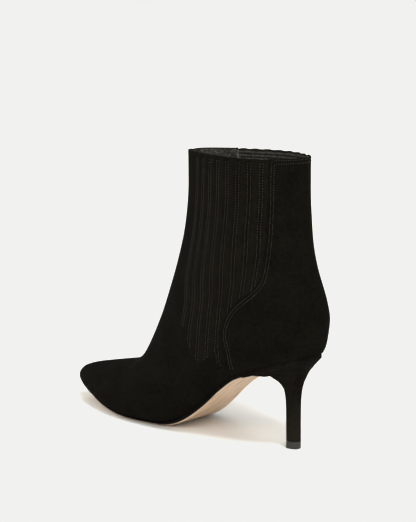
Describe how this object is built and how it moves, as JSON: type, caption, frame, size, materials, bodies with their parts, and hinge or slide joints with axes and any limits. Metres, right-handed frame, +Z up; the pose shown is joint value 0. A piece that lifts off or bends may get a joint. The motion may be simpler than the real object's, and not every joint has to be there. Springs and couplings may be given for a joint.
{
  "type": "mid-heel ankle boot",
  "caption": "Pull-on suede ankle boot with an almond toe, tucked stretch side panels, a leather sole and a slim covered mid heel.",
  "frame": {"origin": "on the floor, under the middle of the heel's tip", "axes": "+X towards the toe, +Y to the wearer's left, which is the outer side, +Z up"},
  "size_m": [0.2644, 0.0767, 0.2211],
  "materials": {
    "suede": "napped suede",
    "sole_leather": "smooth, lightly grained",
    "heel_suede": "napped suede over a moulded core",
    "rubber": "matte",
    "sock": "smooth lining leather"
  },
  "bodies": {
    "root": {"upper": "suede", "outsole": "sole_leather", "heel": "heel_suede", "top_lift": "rubber", "insole": "sock"}
  },
  "joints": []
}
